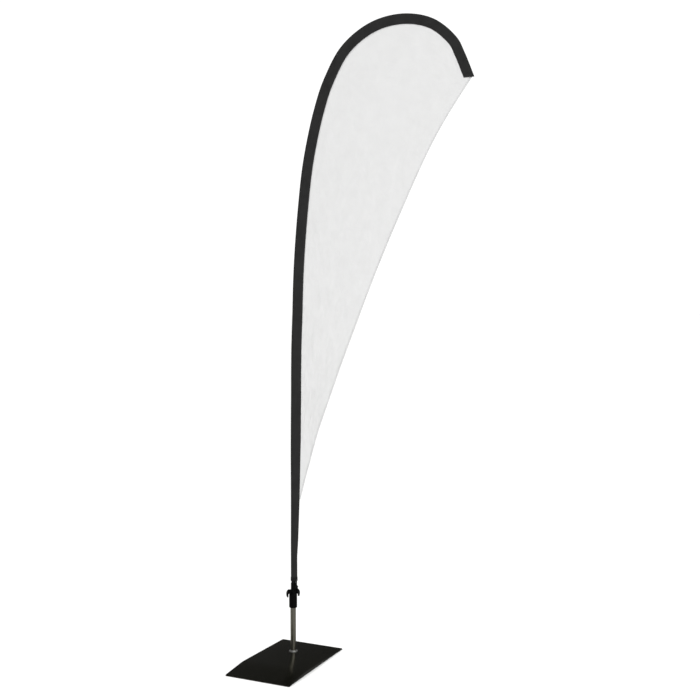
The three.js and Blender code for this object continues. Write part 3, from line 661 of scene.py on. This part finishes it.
def collarShape():
    body = spun([(r * mm, collarFoot + z * mm) for r, z in collar["profile"]], 96)
    piece = makePiece("anchorHooks", body, nylon, "flag", ["anchor_collar"])
    combined(piece, hornShape(0), "UNION")
    combined(piece, hornShape(math.pi), "UNION")
    bore, low, high = collar["bore"] * mm, collarFoot + (collar["step"] + 1) * mm, collarFoot + collar["past"] * mm
    combined(piece, spun([(0, low), (bore, low), (bore, high), (0, high)], 64), "DIFFERENCE")
    screwPlace = (
        Matrix.Translation(post + up * (collarFoot + collar["screwUp"] * mm)) @ Matrix.Rotation(collarTurn, 4, "Z")
        @ Matrix.Translation((0, collar["screwOut"] * mm, 0)) @ Matrix.Rotation(math.pi / 2, 4, "X"))
    combined(piece, roundBar(collar["screwRadius"] * mm, collar["screwLength"] * mm, screwPlace), "DIFFERENCE")
    soften = piece.modifiers.new("soften", "REMESH")
    soften.mode, soften.voxel_size, soften.use_smooth_shade = "VOXEL", collar["grain"] * mm, True
    relax = piece.modifiers.new("relax", "SMOOTH")
    relax.factor, relax.iterations = 0.5, 5
    settleModifiers(piece)
    piece.data.materials.clear()
    piece.data.materials.append(nylon)


collarShape()
print("collar ready")

# Pole and pocket, on one bowed line from the pole's foot

bow = [(0, 0), (0, 62), (0, 122), (0, 182), (0, 242), (1, 448), (1, 672), (4, 968), (8, 1239), (15, 1457), (34, 1710),
       (57, 1904), (101, 2111), (143, 2242), (220, 2382), (342, 2478), (478, 2512), (602, 2490), (697, 2414),
       (729, 2354), (771, 2253)]
trailing = [(700, 2150), (634, 2040), (565, 1904), (490, 1735), (383, 1480), (277, 1200), (170, 900), (78, 617)]


def inFrame(x, z):
    return Vector((post.x + x * mm, post.y, poleFoot + z * mm))


bowLine = throughPoints([inFrame(x, z) for x, z in bow], 40)
bowRun = runOf(bowLine)
poleLength = bowRun[-1]
section = (poleLength - 14 * mm) / 3
pole = {"radius": 7.7 * mm, "wall": 1.5 * mm}
pocket = {"wall": 0.7 * mm, "seamHalf": 0.3 * mm, "mouth": 97 * mm, "mouthWidth": 28.2 * mm, "width": 44 * mm,
          "panelStart": 444 * mm, "lean": math.radians(16), "leanLength": 18 * mm, "bendReach": 40 * mm, "tightest": 4,
          "flare": [(192 * mm, 0), (262 * mm, 0.27), (444 * mm, 0.62), (704 * mm, 1)], "rows": 560,
          "thickness": 0.55 * mm}
# (which joint of the pole, millimetres past it, radius in millimetres) inside the pocket, and the radius at its end
pocketRadii = [(joint * section + past * mm, radius * mm) for joint, past, radius in (
    (1, -140, 8.6), (1, -45, 9.3), (1, 55, 9.3), (1, 200, 6.8), (2, -90, 6.3), (2, 10, 6.3), (2, 210, 4.7))]
pocketRadii.append((poleLength, 3.8 * mm))


def beside(place, inward, sideways=0.0, ahead=0.0):
    # a point next to the bowed line: inward is towards the cloth
    a, b = pointOn(bowLine, bowRun, place - 0.5 * mm), pointOn(bowLine, bowRun, place + 0.5 * mm)
    along = (b - a).normalized()
    across = Vector((along.z, 0, -along.x))
    return pointOn(bowLine, bowRun, place) + across * inward + along * ahead + Vector((0, sideways, 0))


def bend(place):
    # how sharply the line bends there, from 0 to 1 at the top of the arch
    reach = pocket["bendReach"]
    a, b, c = (pointOn(bowLine, bowRun, min(max(place + d, 0), poleLength)) for d in (-reach, 0, reach))
    return min(1.0, (b - a).angle(c - b, 0) / reach / pocket["tightest"])


def seamAt(place):
    share = graded(pocket["flare"], place)
    width = pocket["mouthWidth"] + (pocket["width"] - pocket["mouthWidth"]) * share
    return width - graded(pocketRadii, place) - pocket["wall"]


def leaning(place, inward, sideways=0.0, ahead=0.0):
    # the pocket's far end is cut off at a slant to the pole
    outside = graded(pocketRadii, place) + pocket["wall"]
    lean = (inward + outside) * math.tan(pocket["lean"]) if place > poleLength - pocket["leanLength"] else 0
    return beside(place, inward, sideways, ahead - lean)


def pocketSection(place, grow, flatSteps=4, arcSteps=18):
    # (inward, sideways) round the pocket, starting and ending at its seam
    radius = graded(pocketRadii, place) + grow
    seam = seamAt(place) - pocket["wall"] + grow
    half = pocket["seamHalf"] + grow
    tangent = math.atan2(half, seam) + math.acos(radius / math.hypot(seam, half))
    lip = 0.25 * half  # the seam's fold is rounded off
    points = [(seam, 0), (seam, half - lip), (seam - lip, half)]
    arc = [(radius * math.cos(a), radius * math.sin(a))
           for a in (tangent + (math.tau - 2 * tangent) * k / arcSteps for k in range(arcSteps + 1))]
    for k in range(1, flatSteps):
        t = k / flatSteps
        points.append((points[2][0] * (1 - t) + arc[0][0] * t, points[2][1] * (1 - t) + arc[0][1] * t))
    points += arc
    return points + [(x, -y) for x, y in reversed(points[:flatSteps + 2])]


poleSteps = 90
makePiece("lowerPole", tubeAlong(
    "lowerPole", [beside(section * k / poleSteps, 0) for k in range(poleSteps + 1)],
    [pole["radius"]] * (poleSteps + 1), 14, caps=False), fibre, "flag", ["pole_bottom"])
lowerPole = bpy.data.objects["lowerPole"]
thicken(lowerPole, pole["wall"])
reshade(lowerPole)

guard = {"foot": collarFoot + 80.3 * mm, "length": 28 * mm, "inner": 8 * mm, "outer": 9.6 * mm, "edge": 0.5 * mm}
guardTop = guard["foot"] + guard["length"]
makePiece("poleGuard", spun([
    (guard["inner"], guard["foot"]), (guard["outer"] - guard["edge"], guard["foot"]),
    (guard["outer"], guard["foot"] + guard["edge"]), (guard["outer"], guardTop - 2 * guard["edge"]),
    (guard["outer"] - guard["edge"], guardTop - 0.6 * guard["edge"]), (guard["inner"] + guard["edge"], guardTop),
    (guard["inner"], guardTop), (guard["inner"], guard["foot"])], 64),
    capPlastic, "flag", ["pole_guard"])

pocketAround = len(pocketSection(pocket["panelStart"], pocket["wall"])) - 1
pocketPlaces = [pocket["mouth"] + (poleLength - pocket["mouth"]) * k / pocket["rows"]
                for k in range(pocket["rows"] + 1)]
pocketSections = [pocketSection(place, pocket["wall"]) for place in pocketPlaces]
pocketBends = [bend(place) for place in pocketPlaces]
aroundRun = [flatRun(cut) for cut in pocketSections]
crease = {"height": 0.55 * mm, "flat": 0.25, "bent": 0.9, "fine": (46, 60, 50), "fineShare": 0.65,
          "broad": (17, 25, 40), "broadShare": 0.5, "broadShift": 9, "inwardShare": 0.35, "ends": 20 * mm,
          "gatherFrom": 4 * mm, "gatherOver": 20 * mm, "seamOver": 3 * mm}  # fine and broad are waves to the metre


def pocketPoint(column, row):
    inward, sideways = pocketSections[row][column]
    place = pocketPlaces[row]
    # the cloth gathers on the inside of the bow
    slack = min(1.0, max(0.0, (inward + crease["gatherFrom"]) / crease["gatherOver"]))
    at = (place, inward, sideways)
    fine = noise.noise(Vector([p * s for p, s in zip(at, crease["fine"])]))
    x, y, z = (p * s for p, s in zip(at, crease["broad"]))
    broad = noise.noise(Vector((x, y, z + crease["broadShift"])))
    fold = crease["height"] * (crease["flat"] + crease["bent"] * pocketBends[row] * slack) * (
        crease["fineShare"] * fine + crease["broadShare"] * broad)
    ends = min(1.0, (place - pocket["mouth"]) / crease["ends"], (poleLength - place) / crease["ends"])
    push = fold * ends * min(1.0, abs(sideways) / crease["seamOver"])
    side = sideways + math.copysign(push, sideways) if abs(sideways) > 1e-9 else 0.0
    return leaning(place, inward + fold * ends * crease["inwardShare"], side)


pocketMesh, pocketColumn, pocketRow = gridOf(pocketAround, pocket["rows"], pocketPoint)


def pocketSpread(vert):
    run = aroundRun[vert[pocketRow]]
    return pocketPlaces[vert[pocketRow]], min(run[vert[pocketColumn]], run[-1] - run[vert[pocketColumn]])


laidOut(pocketMesh, pocketSpread)
pocketArea = sum(face.calc_area() for face in pocketMesh.faces)
bmesh.ops.remove_doubles(pocketMesh, verts=pocketMesh.verts, dist=1e-6)
endEdges = [e for e in pocketMesh.edges if len(e.link_faces) == 1 and e.verts[0][pocketRow] == pocket["rows"]]
bmesh.ops.edgenet_fill(pocketMesh, edges=endEdges)
bmesh.ops.recalc_face_normals(pocketMesh, faces=pocketMesh.faces)
flagPocket = makePiece("flagPocket", pocketMesh, pocketCloth, "flag", ["pole_sleeve"], 50)
thicken(flagPocket, pocket["thickness"])

# Binding and pull strap at the pocket's mouth

binding = {"height": 17 * mm, "below": 12 * mm, "grow": 1.8 * mm, "rounding": 0.3 * mm, "thickness": 0.75 * mm,
           "rows": 10}
bindingPlaces = [pocket["mouth"] - binding["below"] + binding["height"] * k / binding["rows"]
                 for k in range(binding["rows"] + 1)]
bindingSections = []
for k, place in enumerate(bindingPlaces):
    edge = abs(2 * k / binding["rows"] - 1)
    bindingSections.append(pocketSection(place, binding["grow"] - binding["rounding"] * edge ** 4))
bindingRun = flatRun(bindingSections[0])
bindingMesh, bindingColumn, bindingRow = gridOf(
    len(bindingRun) - 1, binding["rows"], lambda column, row: beside(bindingPlaces[row], *bindingSections[row][column]))
laidOut(bindingMesh, lambda vert: (bindingRun[vert[bindingColumn]],
                                   binding["height"] * vert[bindingRow] / binding["rows"]))
welded(bindingMesh)
mouthBinding = makePiece("mouthBinding", bindingMesh, bindingWeb, "flag", ["hem_band"], 50)
thicken(mouthBinding, binding["thickness"])

strap = {"near": 7.8 * mm, "besideGuard": 9.65 * mm, "far": 17.5 * mm, "inside": 10 * mm, "drop": 16 * mm,
         "hole": 3.1 * mm, "foot": 48.8 * mm, "corner": 1 * mm, "thickness": 2.4 * mm, "insideFar": 15.4 * mm,
         "middle": 12.8 * mm, "footFar": 15.6 * mm, "taper": 30 * mm, "shoulder": 6 * mm, "edge": 0.45 * mm,
         "eyelet": 0.5 * mm, "eyeletOut": 0.15 * mm, "round": 40}
strapMouth = poleFoot + pocket["mouth"]
holeMiddle = Vector((post.x + strap["middle"], post.y, strapMouth - strap["drop"]))


def pullStrap():
    # a tab of doubled webbing beside the pole, with a hole for the elastic
    bm = bmesh.new()
    bmesh.ops.create_circle(bm, segments=strap["round"], radius=strap["hole"], matrix=Matrix.Translation(holeMiddle)
                            @ Matrix.Rotation(math.pi / 2, 4, "X"))
    hole = bm.edges[:]
    near, far, insideFar, besideGuard = (post.x + strap[key] for key in ("near", "far", "insideFar", "besideGuard"))
    foot, corner, inside = strapMouth - strap["foot"], strap["corner"], strapMouth + strap["inside"]
    outline = [(near, guardTop + 0.6 * mm), (besideGuard, guardTop), (besideGuard, foot + corner)]
    for turnX, start in ((besideGuard + corner, math.pi), (post.x + strap["footFar"] - corner, 1.5 * math.pi)):
        outline += [(turnX + corner * math.cos(start + a), foot + corner + corner * math.sin(start + a))
                    for a in (math.pi / 2 * k / 5 for k in range(1, 6))]
    outline += [(far, strapMouth - strap["taper"]), (far, strapMouth - strap["shoulder"]),
                (insideFar, strapMouth - 0.5 * mm), (insideFar, inside), (near, inside)]
    ring = [bm.verts.new((x, post.y, z)) for x, z in outline]
    around = [bm.edges.new((ring[k], ring[(k + 1) % len(ring)])) for k in range(len(ring))]
    bmesh.ops.triangle_fill(bm, edges=hole + around, use_beauty=True)
    laidOut(bm, lambda vert: (vert.co.z, vert.co.x - post.x - strap["near"]))
    return bm


strapPiece = makePiece("pullStrap", pullStrap(), strapWeb, "flag", ["hem_tab"], 60)
thicken(strapPiece, strap["thickness"], 0, strap["edge"])
eyeletLine = [holeMiddle + Vector((math.cos(a), 0, math.sin(a))) * (strap["hole"] + strap["eyeletOut"])
              for a in (math.tau * k / strap["round"] for k in range(strap["round"]))]
for name, side in (("eyeletFront", -1), ("eyeletBack", 1)):
    offset = Vector((0, side * strap["thickness"] / 2, 0))
    eyelet = tubeAlong("eyelet", [p + offset for p in eyeletLine], [strap["eyelet"]] * strap["round"], 3, closed=True)
    makePiece(name, eyelet, blackScrew, "flag", (), 60)
print("mouth ready")

# Flag cloth, from the pocket's seam to the trailing edge

cloth = {"columns": 46, "rows": 150, "hem": 8 * mm, "tuck": 0.6 * mm, "thickness": 0.45 * mm, "hemThickness": 1.3 * mm,
         "limit": 7 * mm, "frames": 26, "pastEnd": 0.3 * mm, "tipShare": 0.8, "overlap": 3 * mm, "narrowHem": 0.45,
         "waveHeight": 3.2 * mm, "broad": (3.2, 4, 2.1), "fine": (8, 7, 5), "fineShare": 0.4, "looseOver": 120 * mm,
         "looseRows": (12, 10), "heldRows": 14, "gravity": 0.35}
pastEnd = cloth["pastEnd"] / math.cos(pocket["lean"])
seamEnd = leaning(poleLength, seamAt(poleLength) - cloth["tuck"], 0, pastEnd)
tip = leaning(poleLength, seamAt(poleLength) - cloth["tipShare"] * pocket["width"], 0, pastEnd)
low = beside(pocket["panelStart"], seamAt(pocket["panelStart"]) + cloth["overlap"])
seamLine = []
for k in range(cloth["rows"]):
    place = pocket["panelStart"] + (poleLength - pocket["panelStart"]) * k / cloth["rows"]
    seamLine.append(leaning(place, seamAt(place) - cloth["tuck"]))
seamLine.append(seamEnd)
trailLine = throughPoints([low, *[inFrame(x, z) for x, z in reversed(trailing)], tip], 30)
trailRun = runOf(trailLine)


def ripple(point, sizes):
    # sizes are waves to the metre along X, a place across them, and waves to the metre along Z
    return noise.noise(Vector((point.x * sizes[0], sizes[1], point.z * sizes[2])))


def clothPoint(column, row):
    start = seamLine[row]
    end = pointOn(trailLine, trailRun, trailRun[-1] * row / cloth["rows"])
    width = (end - start).length
    hem = min(cloth["hem"], cloth["narrowHem"] * width)
    if column == cloth["columns"]:
        share = 1.0
    else:
        share = (1 - hem / width) * column / (cloth["columns"] - 1)
    point = start.lerp(end, share)
    wave = ripple(point, cloth["broad"]) + cloth["fineShare"] * ripple(point, cloth["fine"])
    first, last = cloth["looseRows"]
    loose = min(1.0, share * width / cloth["looseOver"]) * min(1.0, row / first, (cloth["rows"] - row) / last)
    point.y += cloth["waveHeight"] * wave * loose
    return point


clothMesh = gridOf(cloth["columns"], cloth["rows"], clothPoint)[0]
clothMesh.normal_update()
if sum(face.normal.y for face in clothMesh.faces) > 0:
    bmesh.ops.reverse_faces(clothMesh, faces=clothMesh.faces)
laidOut(clothMesh, lambda vert: (vert.co.z, vert.co.x))
clothArea = sum(face.calc_area() for face in clothMesh.faces)
flagCloth = makePiece("flagCloth", clothMesh, flagWeave, "flag", ["flag_panel"], 80)

# the cloth hangs between its seam and the tip, and sags and ripples a little
held = flagCloth.vertex_groups.new(name="held")
columnsOf = [d.value for d in flagCloth.data.attributes["column"].data]
rowsOf = [d.value for d in flagCloth.data.attributes["row"].data]
drawn = [v.co.copy() for v in flagCloth.data.vertices]
for index, (column, row) in enumerate(zip(columnsOf, rowsOf)):
    if column == 0 or row < cloth["heldRows"] or row >= cloth["rows"] - 1:
        held.add([index], 1.0, "REPLACE")
hang = flagCloth.modifiers.new("hang", "CLOTH")
clothSettings = {"quality": 7, "mass": 0.0006, "tension_stiffness": 12, "compression_stiffness": 12,
                 "shear_stiffness": 6, "bending_stiffness": 0.3, "air_damping": 2, "vertex_group_mass": "held",
                 "shrink_min": -0.0035}
for key, value in clothSettings.items():
    setattr(hang.settings, key, value)
hang.settings.effector_weights.gravity = cloth["gravity"]
hang.point_cache.frame_start, hang.point_cache.frame_end = 1, cloth["frames"]
scene = bpy.context.scene
for frameNumber in range(1, cloth["frames"] + 1):
    scene.frame_set(frameNumber)
graph = bpy.context.evaluated_depsgraph_get()
hung = [v.co.copy() for v in flagCloth.evaluated_get(graph).data.vertices]
flagCloth.modifiers.clear()
scene.frame_set(1)
for vert, start, end in zip(flagCloth.data.vertices, drawn, hung):
    move = end - start
    if move.length > cloth["limit"]:
        move *= cloth["limit"] / move.length
    vert.co = start + move
flagCloth.vertex_groups.clear()
print("cloth moved at most", round(max((b - a).length for a, b in zip(drawn, hung)), 4))

hemMesh = bmesh.new()
hemMesh.from_mesh(flagCloth.data)
hemColumn, hemRow = hemMesh.verts.layers.int["column"], hemMesh.verts.layers.int["row"]
bmesh.ops.delete(hemMesh, context="FACES",
                 geom=[f for f in hemMesh.faces if any(v[hemColumn] < cloth["columns"] - 1 for v in f.verts)])
laidOut(hemMesh, lambda vert: (trailRun[-1] * vert[hemRow] / cloth["rows"],
                               0 if vert[hemColumn] < cloth["columns"] else cloth["hem"]))
trailingHem = makePiece("trailingHem", hemMesh, hemWeave, "flag", (), 80)
thicken(flagCloth, cloth["thickness"], 0)
thicken(trailingHem, cloth["hemThickness"], 0)

print("flag ready", round(clothArea, 3))

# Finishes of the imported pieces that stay

finishes = [
    (machined, "axle_screw", "axle", "axle_washer", "axle_nut", "bearing_spacer", "cross_pin"),
    (bearingSteel, "lower_bearing_inner_ring", "lower_bearing_balls", "lower_bearing_outer_ring",
     "upper_bearing_inner_ring", "upper_bearing_balls", "upper_bearing_outer_ring"),
    (sealRubber, "dust_seal"), (blackScrew, "collar_screw"), (fibre, "pole_middle", "pole_top"),
    (capPlastic, "tip_cap"), (plated, "lower_ferrule", "upper_ferrule")]
for material, *names in finishes:
    for name in names:
        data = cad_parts[name].data
        if not data.materials:
            data.materials.append(material)
        for k in range(len(data.materials)):
            data.materials[k] = material

# Floor and light

studio = {"floor": "#fbfbfa", "halfFloor": 30, "floorAway": 12, "floorBelow": 0.3 * mm, "ambient": 1.09,
          "above": 0.038, "below": 0.25, "key": 22, "side": 14, "front": 9}
floorMesh = bmesh.new()
bmesh.ops.create_grid(floorMesh, x_segments=2, y_segments=2, size=studio["halfFloor"])
bmesh.ops.translate(floorMesh, verts=floorMesh.verts, vec=(0, studio["floorAway"], -studio["floorBelow"]))
floor = linked("studioFloor", meshOf("studioFloor", floorMesh))
floor.data.materials.append(startMaterial("matBackdropPaper", {
    "Base Color": linear(studio["floor"]), "Roughness": 0.95, "Specular IOR Level": 0.1})[0])
floor.visible_glossy = False  # gloss and metal mirror the dark studio, not the paper

world = bpy.data.worlds.new("studioWorld")
bpy.context.scene.world = world
world.use_nodes = True
world.node_tree.nodes.clear()
worldTree = world.node_tree
rays = addNode(worldTree, "ShaderNodeLightPath")
heading = addNode(worldTree, "ShaderNodeSeparateXYZ", links={
    "Vector": addNode(worldTree, "ShaderNodeTexCoord").outputs["Generated"]})
mirrored = addNode(worldTree, "ShaderNodeMapRange", {  # a dark room over a mid-grey floor, as gloss and metal see it
    "From Min": 0.02, "From Max": -0.12, "To Min": studio["above"], "To Max": studio["below"]},
    {"Value": heading.outputs["Z"]})
strength = addNode(worldTree, "ShaderNodeMapRange", {"From Min": 0, "From Max": 1, "To Min": studio["ambient"]},
                   {"Value": rays.outputs["Is Glossy Ray"], "To Max": mirrored.outputs["Result"]})
sky = addNode(worldTree, "ShaderNodeBackground", {"Color": (1, 1, 1, 1)}, {"Strength": strength.outputs["Result"]})
addNode(worldTree, "ShaderNodeOutputWorld", links={"Surface": sky.outputs["Background"]})


def softLight(name, place, target, size, power):
    data = bpy.data.lights.new(name, "AREA")
    data.shape, data.size, data.size_y, data.energy = "RECTANGLE", size[0], size[1], power
    lamp = linked(name, data)
    lamp.location = place
    lamp.rotation_euler = (Vector(target) - Vector(place)).to_track_quat("-Z", "Y").to_euler()


softLight("topLight", (0.2, -0.6, 4.6), (0, 0.1, 0), (3.2, 3.2), studio["key"])
softLight("sideLight", (2.6, -2.0, 1.5), (-0.25, 0.1, 0.5), (0.9, 2.2), studio["side"])
softLight("frontLight", (0.35, -2.9, 0.95), (-0.25, 0.11, 0.1), (1.3, 0.8), studio["front"])
bpy.context.scene.view_settings.view_transform = "Standard"
print("light ready")
